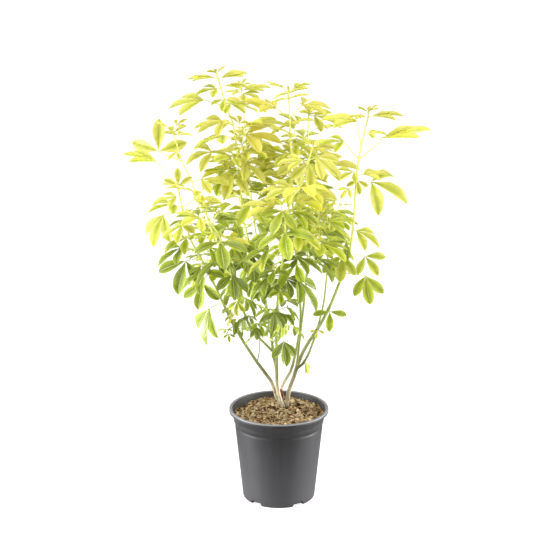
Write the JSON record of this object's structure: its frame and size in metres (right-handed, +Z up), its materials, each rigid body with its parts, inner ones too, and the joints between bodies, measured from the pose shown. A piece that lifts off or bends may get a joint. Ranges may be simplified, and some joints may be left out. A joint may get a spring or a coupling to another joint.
{
  "type": "potted mexican orange",
  "caption": "Golden-leaved mexican orange shrub with open leafy stems of three-part leaves, standing in soil in a tapered grey nursery pot.",
  "frame": {"origin": "centre of the pot's flat base, where it stands", "axes": "+Z up; the picture looks along +Y, with +X to its right"},
  "size_m": [0.56, 0.4754, 0.8277],
  "materials": {
    "pot": "dark grey moulded polypropylene, satin",
    "soil": "coarse brown peat and coir, loose and matt",
    "foliage": "golden yellow-green leaves with a waxy sheen, on green and beige woody stems"
  },
  "bodies": {
    "root": {"pot": "pot", "soil": "soil", "stem_left": "foliage", "stem_middle": "foliage", "stem_back": "foliage", "stem_right": "foliage"}
  },
  "joints": []
}
